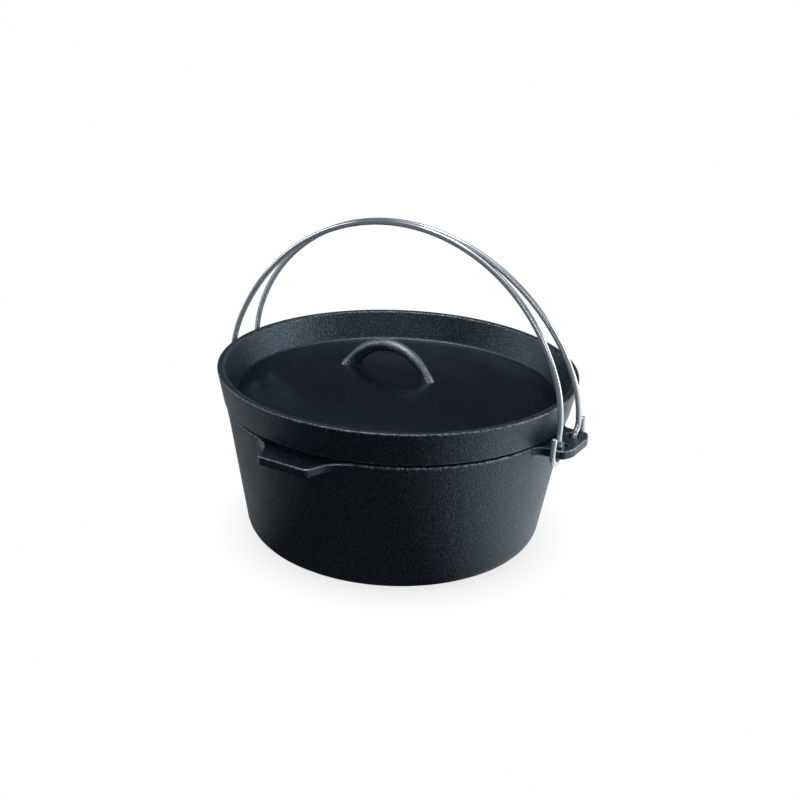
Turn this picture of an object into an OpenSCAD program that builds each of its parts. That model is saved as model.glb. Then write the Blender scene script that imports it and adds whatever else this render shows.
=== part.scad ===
// Camp dutch oven: a cast iron pot and lid with two hooked wire bails.
// Millimetres, +Z up, base on z = 0, axis of the pot on Z, wire lugs on the X axis.

/* [Pot] */
// Outer radius of the rim
rim_r = 133.3; // [120:0.1:150]
// Height of the rim above the base
pot_h = 109.3; // [90:0.1:130]
// Outer radius of the wall, carried down to the base plane
base_r = 114; // [104:0.5:120]
// Thickness of the wall
wall_t = 5.5; // [4:0.1:8]
// Thickness of the floor
floor_t = 6.5; // [4:0.1:9]
// Radius of the outer edge between wall and base
base_edge_r = 17; // [8:0.5:24]
// Rounding of the rim's edges
rim_edge_r = 2.5; // [0.5:0.1:2.6]

/* [Wire lugs] */
// Thickness of the lugs and tabs
lug_t = 7; // [5:0.1:9]
// Distance of the holes beyond the rim
hole_out = 11; // [10:0.1:14]
// Distance between the two holes of a lug
hole_gap = 22; // [18:0.5:28]
// Diameter of the holes
hole_d = 10; // [9:0.1:11]
// Width of the bar between each hole and the lug's side
bar_w = 6.8; // [5:0.1:7.5]
// Metal between the holes and the lug's outer edge
lug_edge = 6.5; // [4:0.1:8]
// Depth of the cut across each outer corner
lug_cut = 4.5; // [3:0.5:7]
// Width of the cut across each outer corner
lug_cut_w = 9; // [6:0.5:12]
// Spread of the lug where it runs into the rim, on each side
lug_flare = 8; // [6:0.5:12]

/* [Tabs] */
// Reach of the tab beyond the rim
tab_out = 21; // [14:0.5:26]
// Length of the tab's outer edge
tab_edge_w = 42; // [30:0.5:50]
// Width of the tab at its neck
tab_neck_w = 54; // [51:0.5:60]
// Width over which the tab runs into the rim
tab_root_w = 86; // [76:0.5:96]
// Turn of the tabs away from square to the lugs, in degrees
tab_turn = 2; // [0:0.5:10]

/* [Lid] */
// Height of the lid's top edge above the pot's rim
lid_h = 28; // [24:0.1:34]
// Overhang of the lid's lower edge beyond the rim
lid_overhang = 1.4; // [0.5:0.1:3]
// Flare of the lid's outer wall, from its lower edge to its top edge
lid_flare = 5.3; // [3:0.1:6]
// Shadow gap between the rim and the lid's lower edge
lid_shadow = 2.4; // [1.5:0.1:4]
// Thickness of the lid's top edge
flange_t = 5.5; // [4:0.1:7]
// Thickness of the flange where it meets the domed floor
flange_root_t = 8.2; // [7:0.1:16]
// Depth of the tray from the top edge to the floor's rim
tray_depth = 22.4; // [17:0.1:23]
// Rise of the domed floor at its middle
dome_rise = 15.5; // [8:0.5:18]
// Thickness of the domed floor
dome_t = 5; // [4:0.1:6]
// Radius of the fillet round the tray
tray_fillet = 6; // [2:0.5:8]
// Depth of the locating ring below the rim
ring_depth = 1.2; // [0.8:0.1:1.5]
// Slope of the locating ring's outer face, in degrees
ring_slope = 9; // [8:0.5:11]

/* [Lid handle] */
// Distance between the middles of the two feet
handle_span = 70; // [60:0.5:84]
// Height of the top of the loop above the middle of the dome
handle_rise = 24.5; // [22:0.5:34]
// Thickness of the loop
loop_t = 8.6; // [7:0.1:9.5]
// Width of the loop
loop_w = 10.5; // [9.6:0.1:18]
// Spread of each foot beyond the loop, on every side
foot_spread = 1.5; // [1:0.1:4]
// Height of the foot's spread above the dome
foot_h = 7; // [4:0.1:9]
// Turn of the handle from the line of the lugs, in degrees
handle_turn = -4; // [-20:0.5:20]
// Shift of the handle from the lid's middle, along the line of the lugs
handle_x = -9; // [-12:0.5:12]
// Shift of the handle from the lid's middle, square to the line of the lugs
handle_y = 3; // [-12:0.5:12]

/* [Bails] */
// Diameter of the wire
wire_d = 4.4; // [4:0.1:5]
// Height of the arch's middle line above the hinge
bail_rise = 145; // [140:0.5:155]
// Radius of the arch's shoulders
shoulder_r = 100; // [90:1:110]
// Length of the straight leg above the hook's bend
leg_l = 1; // [0.5:0.5:10]
// Height of the hook's tip above the lug
tip_h = 9; // [5:0.5:12]

/* [Clearances] */
// Gap between the lid's seat and the rim
seat_gap = 0.2; // [0.1:0.05:0.5]
// Gap between the locating ring and the wall
ring_gap = 0.7; // [0.5:0.1:1.5]
// Gap between the two wires where they lean together
wire_gap = 0.3; // [0.2:0.1:1]
// Gap between the hook and the corners of its bar
hook_gap = 0.9; // [0.6:0.1:1.5]
// Outward set of the hook from the middle of its hole
hook_set = 0.9; // [0:0.1:1.5]

/* [Hidden] */
$fn = 128;
arc_steps = 8;
dome_steps = 12;
hull_fn = 32;
wire_sides = 12;
crown_steps = 18;
shoulder_steps = 8;
bend_steps = 4;
hook_steps = 14;
tip_turns = [0, 40, 70];
corner_r = 4;
neck_r = 8;
lug_corner_r = 6;
lug_neck_out = 1;
rim_sink = 1;
tab_neck_out = 3;
lid_edge_r = 1.2;
seat_edge = 0.8;
ring_land = 3;
loop_sink_turn = 3;
foot_slab = 0.5;
cavity_edge_r = 14;
iron = "#2b2f35";
steel = "#c4c8cc";

// Pot, derived
draft_run = (rim_r - base_r)/pot_h;
bore_r = rim_r - wall_t;
lug_z = pot_h - lug_t/2;

// Lid, derived
lid_top = pot_h + lid_h;
lid_low_r = rim_r + lid_overhang;
lid_r = lid_low_r + lid_flare;
tray_r = lid_low_r - flange_root_t;
tray_z = lid_top - tray_depth;
dome_r = (tray_r*tray_r + dome_rise*dome_rise)/(2*dome_rise);
seat_out_r = rim_r - rim_edge_r - seat_edge;
ring_top_r = bore_r - ring_gap;
ring_low_r = ring_top_r - ring_depth/tan(ring_slope);
under_r = ring_low_r - ring_land;

// Handle, derived: the loop is an arc through both feet and the top
loop_sag = handle_rise - loop_t/2 + (dome_top() - dome_z(handle_span/2));
loop_r = (handle_span*handle_span/4 + loop_sag*loop_sag)/(2*loop_sag);
loop_z = dome_top() + handle_rise - loop_t/2 - loop_r;
loop_half = asin(handle_span/2/loop_r);

// Bails, derived: each hinges on the bar between its holes and the lug's side
wire_r = wire_d/2;
hole_x = rim_r + hole_out;
leg_x = hole_x + hook_set;
hook_r = norm([bar_w, lug_t])/2 + hook_gap + wire_r;
side_y = hole_gap/2 + hole_d/2 + bar_w;
hinge_y = side_y - bar_w/2;
bail_lean = asin((hinge_y - wire_r - wire_gap/2)/bail_rise);
// A double bend of the hook's radius brings each leg over the hinge
bend_turn = 60;
bend_h = 2*hook_r*sin(bend_turn);
// The arch is a crown between two tighter shoulders, which start at the top of the legs
leg_top = bend_h + leg_l;
shoulder_x = leg_x - shoulder_r;
arch_h = bail_rise - leg_top;
crown_r = (shoulder_x*shoulder_x + arch_h*arch_h - shoulder_r*shoulder_r)/(2*(arch_h - shoulder_r));
shoulder_turn = atan2(leg_top - bail_rise + crown_r, shoulder_x);

// Height of the dome's upper face at a distance from the axis
function dome_z(r) = tray_z + dome_rise - dome_r + sqrt(dome_r*dome_r - r*r);
function dome_top() = tray_z + dome_rise;

function unit(v) = v/norm(v);

// Points of the arc that rounds the corner at p, between the corners a and b
function corner_arc(a, p, b, r) =
    let (u = unit(a - p), v = unit(b - p), half = acos(u*v)/2)
    let (c = p + unit(u + v)*r/sin(half))
    let (from = p + u*r/tan(half) - c, to = p + v*r/tan(half) - c)
    let (start = atan2(from[1], from[0]), turn = atan2(to[1], to[0]) - start)
    let (sweep = turn > 180 ? turn - 360 : turn < -180 ? turn + 360 : turn)
    [for (i = [0:arc_steps]) let (t = start + sweep*i/arc_steps) c + r*[cos(t), sin(t)]];

// Outline through corners [x, y, radius], with each corner that has a radius rounded
function soft_outline(corners) = [
    for (i = [0:len(corners) - 1])
        let (n = len(corners), p = corners[i], a = corners[(i + n - 1)%n], b = corners[(i + 1)%n])
        each p[2] > 0 ? corner_arc([a[0], a[1]], [p[0], p[1]], [b[0], b[1]], p[2]) : [[p[0], p[1]]]
];

module mirrored(axis) {
    children();
    mirror(axis) children();
}

// Solid of revolution inside the wall, offset from the outer one by the wall and the floor
module pot_cavity() {
    low_r = base_r + draft_run*floor_t - wall_t;
    above = 10;
    rotate_extrude() polygon(soft_outline([
        [0, floor_t, 0],
        [low_r, floor_t, cavity_edge_r],
        [bore_r, pot_h, 0],
        [bore_r + draft_run*above, pot_h + above, 0],
        [0, pot_h + above, 0]
    ]));
}

module pot_wall() {
    rotate_extrude() polygon(soft_outline([
        [0, 0, 0],
        [base_r, 0, base_edge_r],
        [rim_r, pot_h, rim_edge_r],
        [0, pot_h, 0]
    ]));
}

// Flat plate at the rim, pointing along +X; half is its outline for y > 0, from the tip to the rim
module rim_plate(half) {
    inner = rim_r/2;
    full = concat(
        [[inner, -half[len(half) - 1][1], 0]],
        [for (i = [len(half) - 1:-1:0]) [half[i][0], -half[i][1], half[i][2]]],
        half,
        [[inner, half[len(half) - 1][1], 0]]
    );
    translate([0, 0, pot_h - lug_t]) linear_extrude(lug_t) polygon(soft_outline(full));
}

// Point of the rim, just inside its edge, at a distance from the plate's middle line
function on_rim(y) = [sqrt(rim_r*rim_r - y*y) - rim_sink, y, 0];

module wire_lug() {
    tip = hole_x + hole_d/2 + lug_edge;
    difference() {
        rim_plate([
            [tip, side_y - lug_cut_w, lug_corner_r],
            [tip - lug_cut, side_y, lug_corner_r],
            [rim_r + lug_neck_out, side_y, corner_r],
            on_rim(side_y + lug_flare)
        ]);
        mirrored([0, 1, 0]) translate([hole_x, hole_gap/2, pot_h - 2*lug_t])
            cylinder(d = hole_d, h = 3*lug_t);
    }
}

module rim_tab() {
    tip = rim_r + tab_out;
    rim_plate([
        [tip, tab_edge_w/2, corner_r],
        [rim_r + tab_neck_out, tab_neck_w/2, neck_r],
        on_rim(tab_root_w/2)
    ]);
}

module pot() {
    color(iron) difference() {
        union() {
            pot_wall();
            mirrored([1, 0, 0]) wire_lug();
            for (turn = [-90 - tab_turn, 90 - tab_turn]) rotate(turn) rim_tab();
        }
        pot_cavity();
    }
}

// Flange, domed floor, seat and locating ring, in one outline
module lid_disc() {
    seat_z = pot_h + seat_gap;
    floor_line = [for (i = [0:dome_steps]) let (r = (tray_r - tray_fillet)*i/dome_steps) [r, dome_z(r), 0]];
    under_line = [for (i = [dome_steps:-1:0]) let (r = under_r*i/dome_steps) [r, dome_z(r) - dome_t, 0]];
    rotate_extrude() polygon(soft_outline(concat(
        floor_line,
        [
            [tray_r, tray_z, tray_fillet/2],
            [lid_r - flange_t, lid_top, lid_edge_r],
            [lid_r, lid_top, lid_edge_r],
            [lid_low_r, pot_h + lid_shadow, lid_edge_r],
            [seat_out_r, pot_h + lid_shadow, 0],
            [seat_out_r, seat_z, 0],
            [ring_top_r, seat_z, 0],
            [ring_low_r, seat_z - ring_depth, 0]
        ],
        under_line
    )));
}

module loop_section(spread = 0) {
    flat = loop_w - loop_t;
    mirrored([0, 1]) translate([0, flat/2]) circle(d = loop_t + 2*spread);
    square([loop_t + 2*spread, flat], center = true);
}

// Spread foot that runs the loop into the dome
module handle_foot() {
    sink = dome_t/2;
    lean = foot_h*tan(90 - loop_half)/2;
    translate([handle_span/2, 0, dome_z(handle_span/2) - sink]) hull() {
        linear_extrude(foot_slab, $fn = hull_fn) loop_section(foot_spread);
        translate([-lean, 0, sink + foot_h]) linear_extrude(foot_slab, $fn = hull_fn) loop_section();
    }
}

module lid_handle() {
    sunk_half = loop_half + loop_sink_turn;
    translate([handle_x, handle_y, 0]) rotate(handle_turn) {
        translate([0, 0, loop_z]) rotate([90, 0, 0]) rotate(90 - sunk_half)
            rotate_extrude(angle = 2*sunk_half) translate([loop_r, 0]) loop_section();
        mirrored([1, 0, 0]) handle_foot();
    }
}

module lid() {
    color(iron) {
        lid_disc();
        lid_handle();
    }
}

// Stations of half a bail, from the top of its arch to the hook's tip, over a hinge at y = 0 and z = 0.
// Each is [place, cross direction, outward direction, radius]; the hook turns to the -Y side.
function arch_station(x, z, r, t) = let (out = [cos(t), 0, sin(t)])
    [[x, 0, z] + r*out, [0, 1, 0], out, wire_r];

// Station in the hook's plane, at a place and with a cross direction given as [across, up]
function hook_station(at, cross, r) = [[leg_x, at[0], at[1]], [0, cross[0], cross[1]], [1, 0, 0], r];

function bail_half() = let (tip = lug_t/2 + tip_h) concat(
    [for (i = [0:crown_steps]) let (t = 90 + (shoulder_turn - 90)*i/crown_steps)
        arch_station(0, bail_rise - crown_r, crown_r, t)],
    [for (i = [1:shoulder_steps]) let (t = shoulder_turn*(1 - i/shoulder_steps))
        arch_station(shoulder_x, leg_top, shoulder_r, t)],
    [for (i = [0:bend_steps]) let (q = 180 + bend_turn*i/bend_steps, out = [cos(q), sin(q)])
        hook_station([hook_r, bend_h] + hook_r*out, -out, wire_r)],
    [for (i = [1:hook_steps]) let (q = bend_turn - (180 + bend_turn)*i/hook_steps, out = [cos(q), sin(q)])
        hook_station(hook_r*out, out, wire_r)],
    [for (q = tip_turns) hook_station([-hook_r, tip - wire_r*(1 - sin(q))], [-1, 0], wire_r*cos(q))]
);

function flip_x(v) = [-v[0], v[1], v[2]];
function flip_station(s) = [flip_x(s[0]), flip_x(s[1]), flip_x(s[2]), s[3]];

// Tube of wire through a list of stations, with flat ends
module wire_tube(stations) {
    n = wire_sides;
    last = len(stations) - 1;
    points = [for (s = stations, k = [0:n - 1]) let (a = 360*k/n) s[0] + s[3]*(cos(a)*s[1] + sin(a)*s[2])];
    sides = [for (i = [0:last - 1], k = [0:n - 1]) let (a = i*n + k, b = i*n + (k + 1)%n)
        each [[a, b, a + n], [b, b + n, a + n]]];
    first_end = [for (k = [n - 1:-1:0]) k];
    last_end = [for (k = [0:n - 1]) last*n + k];
    polyhedron(points, concat([first_end, last_end], sides));
}

module bail() {
    half = bail_half();
    far_half = [for (i = [len(half) - 1:-1:1]) flip_station(half[i])];
    translate([0, -hinge_y, lug_z]) rotate([-bail_lean, 0, 0]) wire_tube(concat(far_half, half));
}

module front_bail() {
    color(steel) bail();
}

module rear_bail() {
    color(steel) rotate(180) bail();
}

pot();
lid();
front_bail();
rear_bail();
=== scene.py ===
# Camp dutch oven: a cast iron pot and lid with two hooked wire bails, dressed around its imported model.
# Metres, +Z up, base on z = 0, axis of the pot on Z, wire lugs on the X axis.
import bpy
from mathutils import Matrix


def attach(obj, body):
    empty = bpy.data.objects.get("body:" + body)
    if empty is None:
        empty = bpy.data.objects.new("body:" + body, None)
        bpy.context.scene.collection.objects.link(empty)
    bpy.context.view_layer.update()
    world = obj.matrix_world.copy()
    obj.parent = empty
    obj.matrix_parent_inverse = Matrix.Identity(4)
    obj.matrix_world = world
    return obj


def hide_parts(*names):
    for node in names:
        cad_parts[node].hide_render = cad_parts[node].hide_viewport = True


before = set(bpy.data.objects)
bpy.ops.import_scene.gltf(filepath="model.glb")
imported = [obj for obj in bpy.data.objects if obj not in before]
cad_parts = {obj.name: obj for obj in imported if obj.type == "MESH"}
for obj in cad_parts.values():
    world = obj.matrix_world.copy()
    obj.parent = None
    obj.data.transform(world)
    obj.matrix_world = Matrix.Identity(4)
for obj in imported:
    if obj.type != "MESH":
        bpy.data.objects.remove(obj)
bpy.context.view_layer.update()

import math

import bmesh
import bpy
from mathutils import Matrix, Vector


# Studio. The oven stands on a paper floor that runs out to white, seen from the front right and a
# little above. The camera sees the paper white with a painted contact shadow round the base; reflections
# see white towards the right and back, fainter on the left, and a faint painted glow near the base;
# lamps and the rest see its own near-black colour, a painted dark floor that keeps the oven's front in
# shade. Soft boxes stand at its right and left, one hangs over it and a thin strip is in front.
# A fill lamp at the front right lights the oven without being mirrored in it.
camera_place, camera_lens, sensor_w = (0, -1.05276, 0.52123), 64.97, 36
camera_pan, camera_dip, camera_roll = -0.0020, 0.3739, 0.0398
oven_middle = Vector((0, 0, 0.1))
floor_half, contact_reach, contact_shade, floor_white = 8, 0.03, 0.78, 0.995
glow_start, glow_end, floor_glow = 0.15, 0.27, 0.035
bright_from, bright_full, front_share = -0.35, 0.90, 0.008
faint_from, faint_full, faint_share = 0.40, 1.0, 0.36
horizon_top, upper_share = 0.14, 0.02
overhead_from, overhead_full = 0.80, 0.95
paper_colour, dim_colour, dim_strength = (0.02, 0.02, 0.022, 1), (0.16, 0.20, 0.30, 1), 0.15

scene = bpy.context.scene
scene.view_settings.view_transform = "Standard"

view_turn = Matrix.Rotation(math.radians(29), 4, "Z")
bright_side = view_turn @ Vector((0.85, 0.53, 0))
faint_side = view_turn @ Vector((-0.90, 0.44, 0))

camera = bpy.data.objects.new("camera", bpy.data.cameras.new("camera"))
scene.collection.objects.link(camera)
scene.camera = camera
camera.data.sensor_width = sensor_w
camera.data.lens = camera_lens
camera.matrix_world = (
    view_turn
    @ Matrix.Translation(camera_place)
    @ Matrix.Rotation(camera_pan, 4, "Z")
    @ Matrix.Rotation(math.pi / 2 - camera_dip, 4, "X")
    @ Matrix.Rotation(camera_roll, 4, "Z")
)


def empty_tree(owner):
    """Cleared shader tree of a material or of the world."""
    owner.use_nodes = True
    owner.node_tree.nodes.clear()
    return owner.node_tree


def add_node(tree, kind, links=None, **settings):
    """Node of a shader tree, with settings on it and values or links on its inputs."""
    node = tree.nodes.new(kind)
    for name, value in settings.items():
        setattr(node, name, value)
    for socket, value in (links or {}).items():
        if isinstance(value, bpy.types.NodeSocket):
            tree.links.new(value, node.inputs[socket])
        else:
            node.inputs[socket].default_value = value
    return node


def maths(tree, operation, first, second=0.0, clamp=False):
    """Output of a Math node on two values or sockets."""
    node = add_node(tree, "ShaderNodeMath", {0: first, 1: second}, operation=operation, use_clamp=clamp)
    return node.outputs[0]


def vector_maths(tree, operation, first, second=(0, 0, 0)):
    """Output of a Vector Math node: its value where the operation gives one, or else its vector."""
    node = add_node(tree, "ShaderNodeVectorMath", {0: first, 1: second}, operation=operation)
    return node.outputs["Value" if operation in ("DOT_PRODUCT", "LENGTH") else "Vector"]


def remap(tree, value, start, end, first=0.0, last=1.0, **settings):
    """Output of a Map Range node that goes from first, at start, to last, at end."""
    node = add_node(tree, "ShaderNodeMapRange", {
        "Value": value, "From Min": start, "From Max": end, "To Min": first, "To Max": last}, **settings)
    return node.outputs["Result"]


def backdrop_share(tree, place, fade, least):
    """Share of the white backdrop that a ray sees: all for the camera, and by side for reflections."""
    path = add_node(tree, "ShaderNodeLightPath").outputs
    way = vector_maths(tree, "NORMALIZE", place)

    def seen_at(side, start, full, faintest, most):
        along = vector_maths(tree, "DOT_PRODUCT", way, side)
        return remap(tree, along, start, full, faintest, most, interpolation_type="SMOOTHSTEP")

    bright = seen_at(bright_side, bright_from, bright_full, front_share, 1.0)
    faint = seen_at(faint_side, faint_from, faint_full, 0.0, faint_share)
    faded = maths(tree, "MULTIPLY", maths(tree, "MAXIMUM", bright, faint), fade)
    mirrored = maths(tree, "MAXIMUM", path["Is Glossy Ray"], path["Is Transmission Ray"])
    mirrored = maths(tree, "MULTIPLY", mirrored, maths(tree, "MAXIMUM", faded, least))
    return maths(tree, "MAXIMUM", path["Is Camera Ray"], mirrored)


paper = bpy.data.materials.new("paper_floor")
tree = empty_tree(paper)
floor_place = add_node(tree, "ShaderNodeTexCoord").outputs["Object"]
# The paper's own colour is near black: a painted dark floor that keeps the oven's front in shade.
lit_paper = add_node(tree, "ShaderNodeBsdfDiffuse", {"Color": paper_colour}).outputs[0]
open_air = add_node(tree, "ShaderNodeAmbientOcclusion", {"Distance": contact_reach}, samples=16).outputs["AO"]
shade = remap(tree, open_air, 0.0, 1.0, contact_shade, 1.0)
white = add_node(tree, "ShaderNodeEmission", {"Color": shade, "Strength": 1.0}).outputs[0]
near = remap(tree, vector_maths(tree, "LENGTH", floor_place), glow_start, glow_end, floor_glow, 0.0)
share = maths(tree, "MULTIPLY", backdrop_share(tree, floor_place, 1.0, near), floor_white)
shown = add_node(tree, "ShaderNodeMixShader", {0: share, 1: lit_paper, 2: white}).outputs[0]
add_node(tree, "ShaderNodeOutputMaterial", {"Surface": shown})

mesh = bmesh.new()
bmesh.ops.create_grid(mesh, x_segments=1, y_segments=1, size=floor_half)
floor_mesh = bpy.data.meshes.new("floor")
mesh.to_mesh(floor_mesh)
mesh.free()
floor_mesh.materials.append(paper)
floor = bpy.data.objects.new("floor", floor_mesh)
scene.collection.objects.link(floor)

world = bpy.data.worlds.new("studio")
scene.world = world
tree = empty_tree(world)
way = add_node(tree, "ShaderNodeTexCoord").outputs["Generated"]
dim = add_node(tree, "ShaderNodeBackground", {"Color": dim_colour, "Strength": dim_strength}).outputs[0]
white = add_node(tree, "ShaderNodeBackground", {"Color": (1, 1, 1, 1), "Strength": 1.0}).outputs[0]
upward = add_node(tree, "ShaderNodeSeparateXYZ", {0: way}).outputs["Z"]
low = remap(tree, upward, 0.0, horizon_top, 1.0, upper_share)
overhead = remap(tree, upward, overhead_from, overhead_full)
share = backdrop_share(tree, way, low, overhead)
shown = add_node(tree, "ShaderNodeMixShader", {0: share, 1: dim, 2: white}).outputs[0]
add_node(tree, "ShaderNodeOutputWorld", {"Surface": shown})


def softbox(name, place, size, radiance, mirrored=True):
    """Area lamp aimed at the oven, from a place (right, away, up) as the camera sees it."""
    lamp = bpy.data.lights.new(name, "AREA")
    lamp.shape = "RECTANGLE"
    lamp.size, lamp.size_y = size
    lamp.energy = radiance * math.pi * size[0] * size[1]
    box = bpy.data.objects.new(name, lamp)
    scene.collection.objects.link(box)
    spot = view_turn @ Vector(place)
    aim = (oven_middle - spot).to_track_quat("-Z", "Y")
    box.matrix_world = Matrix.Translation(spot) @ aim.to_matrix().to_4x4()
    box.visible_camera = False
    box.visible_glossy = mirrored


softbox("right_box", (1.5, 0.10, 0.5), (0.7, 0.9), 3.4)
softbox("left_box", (-1.4, 0.35, 0.85), (0.5, 0.9), 3.0)
softbox("top_box", (-0.1, 0.08, 1.35), (0.5, 0.45), 6.0)
softbox("front_box", (0.1, -1.4, 0.9), (1.4, 0.12), 3.0)
softbox("fill_box", (0.7, -1.1, 0.7), (1.2, 0.8), 4.0, mirrored=False)


# Pot. One casting of grey iron, drafted so that it leaves its sand mould, seasoned to a blue-black skin.
# The rim is ground flat for the lid, with a faint thicker band below its edge.
rim_r, pot_h = 0.1333, 0.1093
base_r, base_edge = 0.1140, 0.0170
wall_t, floor_t, cavity_edge = 0.0055, 0.0065, 0.0140
rim_edge, bore_edge = 0.0018, 0.0010
band_h, band_step, band_slope = 0.0085, 0.0004, 0.0010
rim_wear_highlight, rim_wear_highlight_reach = 0.45, 0.9 * rim_edge
spin_steps, soft_steps, weld = 192, 6, 1e-6
arc_cut = 0.84  # how far an arc starts from its corner, as a share of its radius
skin_dark, pot_light = (0.0010, 0.0016, 0.0034, 1), (0.005, 0.0075, 0.013, 1)
# Bare iron for the specks, and light worn iron for the marked faces, which also stands as a painted highlight
bare_colour, wear_highlight_colour = (0.21, 0.265, 0.335, 1), (0.43, 0.48, 0.53, 1)
scuff_colour, skin_tint = (0.008, 0.010, 0.014, 1), (0.57, 0.80, 1.0, 1)
sand_grain, bump_depth = 1150.0, 0.0010
stain_scale, pit_scale, fine_depth, pit_depth = 24.0, 0.45, 0.8, 0.5
stain_span, speck_span, patch_span, wear_highlight_gain = (0.35, 0.68), (0.60, 0.67), (0.56, 0.76), 1.5
worn_edge, worn_grain, worn_rough = 0.002, 0.25, 0.5

draft = (rim_r - base_r) / pot_h


def wall_r(z):
    """Outer radius of the wall at a height."""
    return base_r + draft * z


def round_corner(mesh, vert, cut, steps):
    """Rounds a corner of an outline, from a distance before it to the same distance after it."""
    bmesh.ops.bevel(mesh, geom=[vert], offset=cut, offset_type="OFFSET", segments=steps, profile=0.5,
                    affect="VERTICES", material=-1)


def soft_line(mesh, corners, start=None):
    """Open outline in the XZ plane through corners (x, z, cut), rounded by their cuts; gives its end."""
    verts = [start] if start else []
    verts += [mesh.verts.new((x, 0, z)) for x, z, _ in corners]
    for a, b in zip(verts, verts[1:]):
        mesh.edges.new((a, b))
    for vert, (_, _, cut) in zip(verts[-len(corners):], corners):
        if cut:
            round_corner(mesh, vert, cut, soft_steps)
    return verts[-1]


def turn_round(mesh):
    """Spins everything in the mesh once round the oven's axis and closes the seam and the poles."""
    bmesh.ops.spin(mesh, geom=mesh.verts[:] + mesh.edges[:], cent=(0, 0, 0), axis=(0, 0, 1), dvec=(0, 0, 0),
                   angle=2 * math.pi, steps=spin_steps, use_merge=True)
    bmesh.ops.remove_doubles(mesh, verts=mesh.verts[:], dist=weld)
    bmesh.ops.recalc_face_normals(mesh, faces=mesh.faces[:])


def new_casting():
    """Empty mesh of an iron piece, with a layer for its worn faces, which also carry a painted highlight."""
    mesh = bmesh.new()
    mesh.faces.layers.float.new("wear_highlight")
    return mesh


def mark_wear_highlight(mesh, faces, amount, upward=0.0):
    """Marks faces by an amount, and more where they face upward: partly wear from hands and scouring, partly a
    painted highlight.
    """
    wear_highlight = mesh.faces.layers.float["wear_highlight"]
    for face in faces:
        face[wear_highlight] = max(0.0, amount + upward * face.normal.z)


def faces_near(mesh, radius, z, reach):
    """Faces of a turned mesh whose middles lie within reach of a circle round the axis."""
    middles = ((face, face.calc_center_median()) for face in mesh.faces)
    return [face for face, at in middles if math.hypot(math.hypot(at.x, at.y) - radius, at.z - z) < reach]


def make_piece(name, mesh, material, body):
    """Smooth object from a finished mesh, in place, on its body and with its finish."""
    data = bpy.data.meshes.new(name)
    mesh.to_mesh(data)
    mesh.free()
    data.shade_smooth()
    data.materials.append(material)
    piece = bpy.data.objects.new(name, data)
    scene.collection.objects.link(piece)
    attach(piece, body)
    return piece


def noise(tree, place, scale, detail, roughness=0.5):
    """Output of a Noise Texture node."""
    node = add_node(tree, "ShaderNodeTexNoise", {
        "Vector": place, "Scale": scale, "Detail": detail, "Roughness": roughness})
    return node.outputs[0]


def mix_colour(tree, share, first, second):
    """Output of a colour mix that goes from first, at no share, to second, at a full one."""
    node = add_node(tree, "ShaderNodeMixRGB", {"Fac": share, "Color1": first, "Color2": second})
    return node.outputs[0]


def casting_grain():
    """Shader group of the iron's skin: broad stains, bright specks and the height of its grain and pits."""
    group = bpy.data.node_groups.new("casting_grain", "ShaderNodeTree")
    group.interface.new_socket("Vector", in_out="INPUT", socket_type="NodeSocketVector")
    group.interface.new_socket("Grain Scale", in_out="INPUT", socket_type="NodeSocketFloat")
    for name in ("Stain", "Speck", "Height"):
        group.interface.new_socket(name, in_out="OUTPUT", socket_type="NodeSocketFloat")
    given = add_node(group, "NodeGroupInput").outputs
    place, scale = given["Vector"], given["Grain Scale"]
    broad = noise(group, place, stain_scale, 4.0, 0.6)
    fine = noise(group, place, scale, 1.0, 0.6)
    pits = noise(group, place, maths(group, "MULTIPLY", scale, pit_scale), 1.0)
    height = maths(group, "ADD", maths(group, "MULTIPLY", fine, fine_depth),
                   maths(group, "MULTIPLY", pits, pit_depth))
    add_node(group, "NodeGroupOutput", {
        "Stain": remap(group, broad, *stain_span), "Speck": remap(group, fine, *speck_span), "Height": height})
    return group


grain_group = casting_grain()


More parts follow.
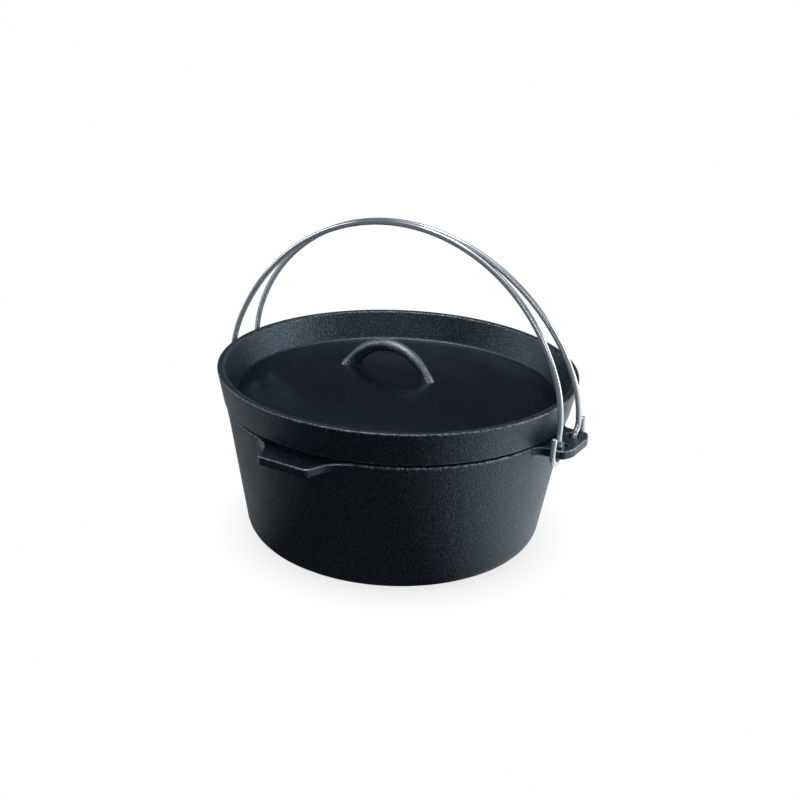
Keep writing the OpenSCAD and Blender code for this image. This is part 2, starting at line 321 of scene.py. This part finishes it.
def seasoned_iron(name, dark, light, rough, grain_scale, bump, speck, worn_r=None):
    """Blue-black seasoned iron, from its darkest to its lightest skin; inside worn_r it is smoother."""
    material = bpy.data.materials.new(name)
    tree = empty_tree(material)
    place = add_node(tree, "ShaderNodeTexCoord").outputs["Object"]
    skin = add_node(tree, "ShaderNodeGroup", {"Vector": place, "Grain Scale": grain_scale},
                    node_tree=grain_group).outputs
    tone = maths(tree, "ADD", maths(tree, "MULTIPLY", skin["Stain"], 0.5),
                 maths(tree, "MULTIPLY", skin["Speck"], 0.5), clamp=True)
    colour = mix_colour(tree, tone, dark, light)
    smoothest, roughest = rough
    roughness = remap(tree, tone, 0.0, 1.0, roughest, smoothest)
    height = skin["Height"]
    if worn_r:
        radius = vector_maths(tree, "LENGTH", vector_maths(tree, "MULTIPLY", place, (1, 1, 0)))
        coarse = remap(tree, radius, worn_r - worn_edge, worn_r, worn_grain, 1.0)
        height = maths(tree, "MULTIPLY", height, coarse)
        speck = maths(tree, "MULTIPLY", coarse, speck)
        scuffs = maths(tree, "MULTIPLY", skin["Stain"], maths(tree, "SUBTRACT", 1.0, coarse))
        colour = mix_colour(tree, scuffs, colour, scuff_colour)
        polish = maths(tree, "ADD", maths(tree, "MULTIPLY", coarse, 1 - worn_rough), worn_rough)
        roughness = maths(tree, "MULTIPLY", roughness, polish)
    normal = add_node(tree, "ShaderNodeBump", {
        "Strength": bump, "Distance": bump_depth, "Height": height}).outputs[0]

    # Bare, lighter iron shows in patches on the marked faces, partly wear and partly a painted highlight, and
    # in specks all over
    wear_highlight = add_node(tree, "ShaderNodeAttribute", attribute_name="wear_highlight").outputs["Fac"]
    patches = maths(tree, "SUBTRACT", remap(tree, skin["Height"], *patch_span), 1.0)
    edges = maths(tree, "ADD", maths(tree, "MULTIPLY", wear_highlight, wear_highlight_gain), patches, clamp=True)
    bare = maths(tree, "ADD", edges, maths(tree, "MULTIPLY", skin["Speck"], speck), clamp=True)
    colour = mix_colour(tree, bare, colour, bare_colour)
    colour = mix_colour(tree, edges, colour, wear_highlight_colour)
    shader = add_node(tree, "ShaderNodeBsdfPrincipled", {
        "Base Color": colour, "Metallic": bare, "Roughness": roughness, "Normal": normal, "IOR": 2.0,
        "Specular Tint": skin_tint})
    add_node(tree, "ShaderNodeOutputMaterial", {"Surface": shader.outputs[0]})
    return material


pot_iron = seasoned_iron("pot_iron", skin_dark, pot_light, rough=(0.30, 0.42), grain_scale=sand_grain,
                         bump=0.75, speck=0.9)

mesh = new_casting()
bore_r = rim_r - wall_t
band_z = pot_h - band_h
soft_line(mesh, [
    (0, 0, 0),
    (base_r, 0, base_edge * arc_cut),
    (wall_r(band_z) - band_step, band_z - band_slope, 0),
    (wall_r(band_z), band_z, 0),
    (rim_r, pot_h, rim_edge * arc_cut),
    (bore_r, pot_h, bore_edge),
    (wall_r(floor_t) - wall_t, floor_t, cavity_edge * arc_cut),
    (0, floor_t, 0),
])
turn_round(mesh)
# The rim's outer edge is worn iron with a painted highlight line along it.
mark_wear_highlight(mesh, faces_near(mesh, rim_r, pot_h, rim_wear_highlight_reach), rim_wear_highlight)
pot = make_piece("pot_shell", mesh, pot_iron, "pot")
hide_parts("pot")


# Rim plates. Two grip tabs and two drilled wire lugs, cast in one with the pot at the height of its rim.
# Sand leaves their edges soft, and a fillet runs from each one's underside into the wall.
plate_t, plate_edge, plate_low_edge, plate_drop = 0.0070, 0.0010, 0.0014, 0.00005
root_r, tab_sink, lug_sink = 0.1300, 0.0010, 0.0022
corner_cut, neck_cut, lug_corner_cut = 0.0030, 0.0062, 0.0034
corner_steps, edge_steps, root_steps, hole_sides = 5, 4, 24, 40
sharp_turn, same_level, plate_wear_highlight = 1.2, 1e-5, 0.7
fillet_r, fillet_inset, fillet_sink, fillet_ease = 0.0050, 0.0004, 0.0012, 0.0020
fillet_steps, fillet_along = 6, 40
tab_out, tab_neck_out, tab_turn = 0.0210, 0.0030, 2
tab_edge_w, tab_neck_w, tab_root_w = 0.0420, 0.0540, 0.0860
hole_x, hole_gap, hole_d = rim_r + 0.0110, 0.0220, 0.0100
side_y, lug_edge, lug_cut, lug_cut_w = 0.0228, 0.0065, 0.0045, 0.0090
lug_flare, lug_neck_out = 0.0080, 0.0010
plate_light = (0.003, 0.0045, 0.008, 1)

plate_top = pot_h - plate_drop
plate_under = plate_top - plate_t
plate_iron = seasoned_iron("plate_iron", skin_dark, plate_light, rough=(0.24, 0.34), grain_scale=sand_grain,
                           bump=0.3, speck=0.5)


def on_circle(radius, y):
    """X of a circle about the axis at a distance from the plate's middle line."""
    return math.sqrt(radius * radius - y * y)


def only(kind, geometry):
    """Parts of a bmesh result that are of one kind."""
    return [part for part in geometry if isinstance(part, kind)]


def close_holes(mesh):
    """Fills every open loop of edges and turns all faces outwards."""
    bmesh.ops.holes_fill(mesh, edges=[edge for edge in mesh.edges if edge.is_boundary], sides=0)
    bmesh.ops.recalc_face_normals(mesh, faces=mesh.faces[:])


def plate_mesh(half, holes):
    """Plate along +X with soft edges; half is its outline for y > 0 as (x, y, cut), from the tip to the rim."""
    mesh = new_casting()
    end_y = half[-1][1]
    root = [end_y * (1 - 2 * i / root_steps) for i in range(root_steps + 1)]
    outline = [(x, -y, cut) for x, y, cut in reversed(half)] + half
    outline += [(on_circle(root_r, y), y, 0) for y in root]
    verts = [mesh.verts.new((x, y, plate_top)) for x, y, _ in outline]
    for a, b in zip(verts, verts[1:] + verts[:1]):
        mesh.edges.new((a, b))
    for vert, (_, _, cut) in zip(verts, outline):
        if cut:
            round_corner(mesh, vert, cut, corner_steps)
    for x, y in holes:
        bmesh.ops.create_circle(mesh, cap_ends=False, segments=hole_sides, radius=hole_d / 2,
                                matrix=Matrix.Translation((x, y, plate_top)))
    bmesh.ops.triangle_fill(mesh, use_beauty=True, edges=mesh.edges[:], normal=(0, 0, 1))
    grown = bmesh.ops.extrude_face_region(mesh, geom=mesh.faces[:], use_keep_orig=True)["geom"]
    bmesh.ops.translate(mesh, verts=only(bmesh.types.BMVert, grown), vec=(0, 0, -plate_t))
    bmesh.ops.recalc_face_normals(mesh, faces=mesh.faces[:])
    for level, cut in ((plate_top, plate_edge), (plate_under, plate_low_edge)):
        level_edges = [edge for edge in mesh.edges if all(abs(v.co.z - level) < same_level for v in edge.verts)]
        sharp = [edge for edge in level_edges if edge.calc_face_angle() > sharp_turn]
        rounded = bmesh.ops.bevel(mesh, geom=sharp, offset=cut, offset_type="OFFSET", segments=edge_steps,
                                  profile=0.5, affect="EDGES", material=-1)["faces"]
        # The rounded top edges are worn iron with a painted highlight line along them.
        if level == plate_top:
            mark_wear_highlight(mesh, rounded, plate_wear_highlight)
    return mesh


def fillet_mesh(half):
    """Band round the wall under a plate, closed inside the wall, that carries the plate's underside into it."""
    (neck_x, neck_y, _), (end_x, end_y, _) = half[-2:]

    def covered(y):
        """Share of the fillet's reach that lies under the plate at a distance from its middle line."""
        along = (abs(y) - neck_y) / (end_y - neck_y)
        reach = neck_x + (end_x - neck_x) * along - on_circle(rim_r, y)
        beside = min(max(1 + (abs(y) - neck_y) / fillet_ease, 0), 1)
        return 1 - beside * (1 - min(max(reach / fillet_r, 0), 1))

    band = bmesh.new()
    ring = [band.verts.new((0, end_y * (2 * i / fillet_along - 1), 0)) for i in range(fillet_along + 1)]
    edges = [band.edges.new(pair) for pair in zip(ring, ring[1:])]
    turns = [math.pi / 2 * i / fillet_steps for i in range(fillet_steps + 1)]
    steps = [(plate_t / 2, fillet_r)]
    steps += [(-fillet_r * (1 - math.cos(turn)), fillet_r * (1 - math.sin(turn))) for turn in turns]
    steps += [(-fillet_r, -fillet_sink), (plate_t / 2, -fillet_sink), steps[0]]
    for step, (rise, out) in enumerate(steps):
        if step:
            grown = bmesh.ops.extrude_edge_only(band, edges=edges)["geom"]
            ring, edges = only(bmesh.types.BMVert, grown), only(bmesh.types.BMEdge, grown)
        for vert in ring:
            share = covered(vert.co.y) if out > 0 else 1
            vert.co.z = plate_under + rise
            vert.co.x = on_circle(wall_r(vert.co.z) - fillet_inset, vert.co.y) + out * share
    bmesh.ops.remove_doubles(band, verts=band.verts[:], dist=weld)
    close_holes(band)
    return band


def rim_plate(name, half, turn, holes=()):
    """Plate and its fillet as one piece, turned about the axis from +X by an angle in degrees."""
    mesh = plate_mesh(half, holes)
    band = fillet_mesh(half)
    joined = bpy.data.meshes.new(name + "_fillet")
    band.to_mesh(joined)
    band.free()
    mesh.from_mesh(joined)
    bpy.data.meshes.remove(joined)
    bmesh.ops.rotate(mesh, verts=mesh.verts[:], cent=(0, 0, 0),
                     matrix=Matrix.Rotation(math.radians(turn), 3, "Z"))
    piece = make_piece(name, mesh, plate_iron, "pot")
    weighted = piece.modifiers.new("flat_faces", "WEIGHTED_NORMAL")
    weighted.keep_sharp = True


tab_half = [
    (rim_r + tab_out, tab_edge_w / 2, corner_cut),
    (rim_r + tab_neck_out, tab_neck_w / 2, neck_cut),
    (on_circle(rim_r, tab_root_w / 2) - tab_sink, tab_root_w / 2, 0),
]
rim_plate("tab_front", tab_half, -90 - tab_turn)
rim_plate("tab_back", tab_half, 90 - tab_turn)

lug_tip = hole_x + hole_d / 2 + lug_edge
lug_root_y = side_y + lug_flare
lug_half = [
    (lug_tip, side_y - lug_cut_w, lug_corner_cut),
    (lug_tip - lug_cut, side_y, lug_corner_cut),
    (rim_r + lug_neck_out, side_y, corner_cut),
    (on_circle(rim_r, lug_root_y) - lug_sink, lug_root_y, 0),
]
lug_holes = [(hole_x, hole_gap / 2), (hole_x, -hole_gap / 2)]
rim_plate("lug_right", lug_half, 0, lug_holes)
rim_plate("lug_left", lug_half, 180, lug_holes)


# Lid. A second casting: a domed floor that carries coals, a flared flange round it, and below it a flat seat
# with a locating ring that drops inside the rim.
lid_low_r, lid_r, lid_top = 0.1347, 0.1400, 0.1373
lid_low_z, seat_z = 0.1117, 0.1095
flange_t, tray_r, tray_z, tray_cut = 0.0055, 0.1265, 0.1149, 0.0024
dome_rise, dome_t, dome_end_r, dome_steps = 0.0155, 0.0050, 0.1205, 24
seat_out_r, ring_top_r, ring_low_r, ring_low_z, under_r = 0.1300, 0.1271, 0.1195, 0.1083, 0.1165
lid_edge_cut, outer_wear_highlight, inner_wear_highlight = 0.0012, 0.42, 0.3
lid_dark, lid_light = (0.0006, 0.0010, 0.0024, 1), (0.002, 0.0030, 0.006, 1)

lid_iron = seasoned_iron("lid_iron", lid_dark, lid_light, rough=(0.28, 0.40), grain_scale=sand_grain,
                         bump=0.5, speck=0.8, worn_r=tray_r)

dome_ball_r = (tray_r ** 2 + dome_rise ** 2) / (2 * dome_rise)
dome_top = tray_z + dome_rise


def dome_line(mesh, top, end_r):
    """Arc of the dome in the XZ plane from its pole outwards; gives its last vertex."""
    pole = mesh.verts.new((0, 0, top))
    arc = bmesh.ops.spin(mesh, geom=[pole], cent=(0, 0, top - dome_ball_r), axis=(0, 1, 0), dvec=(0, 0, 0),
                         angle=math.asin(end_r / dome_ball_r), steps=dome_steps)["geom_last"]
    return only(bmesh.types.BMVert, arc)[0]


mesh = new_casting()
start = dome_line(mesh, dome_top, dome_end_r)
end = soft_line(mesh, [
    (tray_r, tray_z, tray_cut),
    (lid_r - flange_t, lid_top, lid_edge_cut),
    (lid_r, lid_top, lid_edge_cut),
    (lid_low_r, lid_low_z, lid_edge_cut),
    (seat_out_r, lid_low_z, 0),
    (seat_out_r, seat_z, 0),
    (ring_top_r, seat_z, 0),
    (ring_low_r, ring_low_z, 0),
], start)
mesh.edges.new((end, dome_line(mesh, dome_top - dome_t, under_r)))
turn_round(mesh)
# The flange's top and lower edges are worn iron with painted highlight lines along them.
mark_wear_highlight(mesh, faces_near(mesh, lid_r, lid_top, lid_edge_cut), outer_wear_highlight)
mark_wear_highlight(mesh, faces_near(mesh, lid_r - flange_t, lid_top, lid_edge_cut), inner_wear_highlight)
mark_wear_highlight(mesh, faces_near(mesh, lid_low_r, lid_low_z, lid_edge_cut), outer_wear_highlight)
lid = make_piece("lid_shell", mesh, lid_iron, "lid")
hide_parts("lid")


# Lid handle. A plain iron loop cast near the middle of the dome, with its left arm thicker than its right
# and feet that spread into the floor. A lifting hook goes under it.
handle_span, handle_rise, handle_turn = 0.0700, 0.0245, -4
handle_place = (-0.0090, 0.0030, 0)
loop_t, loop_w, loop_sides, loop_steps = 0.0090, 0.0105, 28, 60
foot_spread, foot_start, foot_depth, side_taper = 0.50, 0.62, 0.0034, 0.27
foot_turn, buried_turn = math.radians(5), math.radians(7)
loop_wear_highlight, loop_top_wear_highlight = 0.15, 0.85
handle_grain, handle_light = 1800.0, (0.004, 0.006, 0.010, 1)

handle_iron = seasoned_iron("handle_iron", skin_dark, handle_light, rough=(0.36, 0.46),
                            grain_scale=handle_grain, bump=0.2, speck=0.5)

foot_drop = dome_ball_r - math.sqrt(dome_ball_r ** 2 - (handle_span / 2) ** 2)
loop_sag = handle_rise - loop_t / 2 + foot_drop
loop_r = (handle_span ** 2 / 4 + loop_sag ** 2) / (2 * loop_sag)
loop_z = dome_top + handle_rise - loop_t / 2 - loop_r
loop_half = math.asin(handle_span / 2 / loop_r) + foot_turn
loop_end = loop_half + buried_turn

mesh = new_casting()
bmesh.ops.create_circle(mesh, cap_ends=False, segments=loop_sides, radius=0.5, matrix=(
    Matrix.Translation((0, 0, loop_z + loop_r))
    @ Matrix.Rotation(math.pi / 2, 4, "Y")
    @ Matrix.Diagonal((loop_t, loop_w, 1, 1))))
bmesh.ops.rotate(mesh, verts=mesh.verts[:], cent=(0, 0, loop_z), matrix=Matrix.Rotation(-loop_end, 3, "Y"))
bmesh.ops.spin(mesh, geom=mesh.verts[:] + mesh.edges[:], cent=(0, 0, loop_z), axis=(0, 1, 0), dvec=(0, 0, 0),
               angle=2 * loop_end, steps=loop_steps)
for vert in mesh.verts:
    turn = math.atan2(vert.co.x, vert.co.z - loop_z)
    centre = Vector((math.sin(turn) * loop_r, 0, loop_z + math.cos(turn) * loop_r))
    low = min(max((abs(turn) / loop_half - foot_start) / (1 - foot_start), 0.0), 1.0)
    taper = 1 - side_taper * turn / loop_half
    vert.co = centre + (vert.co - centre) * taper * (1 + foot_spread * low ** 3)
bmesh.ops.rotate(mesh, verts=mesh.verts[:], cent=(0, 0, 0),
                 matrix=Matrix.Rotation(math.radians(handle_turn), 3, "Z"))
bmesh.ops.translate(mesh, verts=mesh.verts[:], vec=handle_place)
bmesh.ops.bisect_plane(mesh, geom=mesh.verts[:] + mesh.edges[:] + mesh.faces[:],
                       plane_co=(0, 0, dome_top - foot_depth), plane_no=(0, 0, 1), clear_inner=True)
close_holes(mesh)
# The loop is worn a little all over and most on its upper faces: partly wear from hands, partly a painted
# highlight on the side that faces the light from above.
mark_wear_highlight(mesh, mesh.faces, loop_wear_highlight, loop_top_wear_highlight)
make_piece("lid_handle", mesh, handle_iron, "lid")


# Bails. Two arches of bright plated steel wire, bent cold. Each leg ends in a double bend and an open hook
# round the bar between a lug's hole and its side, and the two arches lean together at the top.
wire_r, wire_sides = 0.0022, 20
bail_rise, shoulder_r, leg_l, tip_h = 0.1450, 0.1000, 0.0010, 0.0090
hook_gap, hook_set, wire_gap, bar_w = 0.0009, 0.0009, 0.0003, 0.0068
bend_turn = math.radians(60)
crown_steps, shoulder_steps, bend_steps, hook_steps = 44, 18, 10, 36
tip_round, mirror_weld = 0.5, 1e-5
tip_profile = ((0.2500, 0.9330), (0.4096, 0.7868), (0.4830, 0.4500))  # rise and width, in radii of the wire
dull_plating, clean_plating = (0.74, 0.82, 0.89, 1), (0.87, 0.93, 0.98, 1)
smear_scale, cleanest, dullest = 60.0, 0.10, 0.16

leg_x = hole_x + hook_set
hook_r = math.hypot(bar_w, plate_t) / 2 + hook_gap + wire_r
hinge_y, hinge_z = side_y - bar_w / 2, pot_h - plate_t / 2
bail_lean = math.asin((hinge_y - wire_r - wire_gap / 2) / bail_rise)
bend_h = 2 * hook_r * math.sin(bend_turn)
leg_top = bend_h + leg_l
shoulder_x = leg_x - shoulder_r
arch_h = bail_rise - leg_top
crown_r = (shoulder_x ** 2 + arch_h ** 2 - shoulder_r ** 2) / (2 * (arch_h - shoulder_r))
shoulder_turn = math.atan2(leg_top - bail_rise + crown_r, shoulder_x)
tip_top = plate_t / 2 + tip_h

bail_wire = bpy.data.materials.new("bail_wire")
tree = empty_tree(bail_wire)
smear = noise(tree, add_node(tree, "ShaderNodeTexCoord").outputs["Object"], smear_scale, 3.0, 0.6)
shader = add_node(tree, "ShaderNodeBsdfPrincipled", {
    "Base Color": mix_colour(tree, smear, dull_plating, clean_plating), "Metallic": 0.75,
    "Roughness": remap(tree, smear, 0.3, 0.7, cleanest, dullest)})
add_node(tree, "ShaderNodeOutputMaterial", {"Surface": shader.outputs[0]})


def bail_mesh():
    """Wire of one bail at rest over the front hinge line."""
    mesh = bmesh.new()
    ring = bmesh.ops.create_circle(mesh, cap_ends=False, segments=wire_sides, radius=wire_r, matrix=(
        Matrix.Translation((0, 0, bail_rise)) @ Matrix.Rotation(math.pi / 2, 4, "Y")))["verts"]
    last = list(ring) + list({edge for vert in ring for edge in vert.link_edges})

    def bend(last, cent, axis, angle, steps):
        """Carries the wire's end round a bend."""
        return bmesh.ops.spin(mesh, geom=last, cent=cent, axis=axis, dvec=(0, 0, 0), angle=angle,
                              steps=steps)["geom_last"]

    def run(last, rise, scale=1.0):
        """Carries the wire's end straight up or down and scales it about its middle."""
        grown = bmesh.ops.extrude_edge_only(mesh, edges=only(bmesh.types.BMEdge, last))["geom"]
        verts = only(bmesh.types.BMVert, grown)
        bmesh.ops.translate(mesh, verts=verts, vec=(0, 0, rise))
        middle = sum((vert.co for vert in verts), Vector()) / len(verts)
        bmesh.ops.scale(mesh, verts=verts, vec=(scale,) * 3, space=Matrix.Translation(-middle))
        return verts + only(bmesh.types.BMEdge, grown)

    last = bend(last, (0, 0, bail_rise - crown_r), (0, 1, 0), math.pi / 2 - shoulder_turn, crown_steps)
    last = bend(last, (shoulder_x, 0, leg_top), (0, 1, 0), shoulder_turn, shoulder_steps)
    last = run(last, -leg_l)
    last = bend(last, (leg_x, hook_r, bend_h), (1, 0, 0), bend_turn, bend_steps)
    last = bend(last, (leg_x, 0, 0), (1, 0, 0), -math.pi - bend_turn, hook_steps)
    last = run(last, tip_top - wire_r * tip_round)
    done, width = 0.0, 1.0
    for rise, wide in tip_profile:
        last = run(last, wire_r * (rise - done), wide / width)
        done, width = rise, wide
    bmesh.ops.contextual_create(mesh, geom=only(bmesh.types.BMEdge, last))
    bmesh.ops.mirror(mesh, geom=mesh.verts[:] + mesh.edges[:] + mesh.faces[:], axis="X", merge_dist=mirror_weld)
    bmesh.ops.remove_doubles(mesh, verts=mesh.verts[:], dist=weld)
    bmesh.ops.recalc_face_normals(mesh, faces=mesh.faces[:])
    bmesh.ops.transform(mesh, verts=mesh.verts[:], matrix=(
        Matrix.Translation((0, -hinge_y, hinge_z)) @ Matrix.Rotation(-bail_lean, 4, "X")))
    return mesh


front = make_piece("front_bail_wire", bail_mesh(), bail_wire, "front_bail")
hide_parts("front_bail")
mesh = bail_mesh()
bmesh.ops.rotate(mesh, verts=mesh.verts[:], cent=(0, 0, 0), matrix=Matrix.Rotation(math.pi, 3, "Z"))
rear = make_piece("rear_bail_wire", mesh, bail_wire, "rear_bail")
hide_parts("rear_bail")
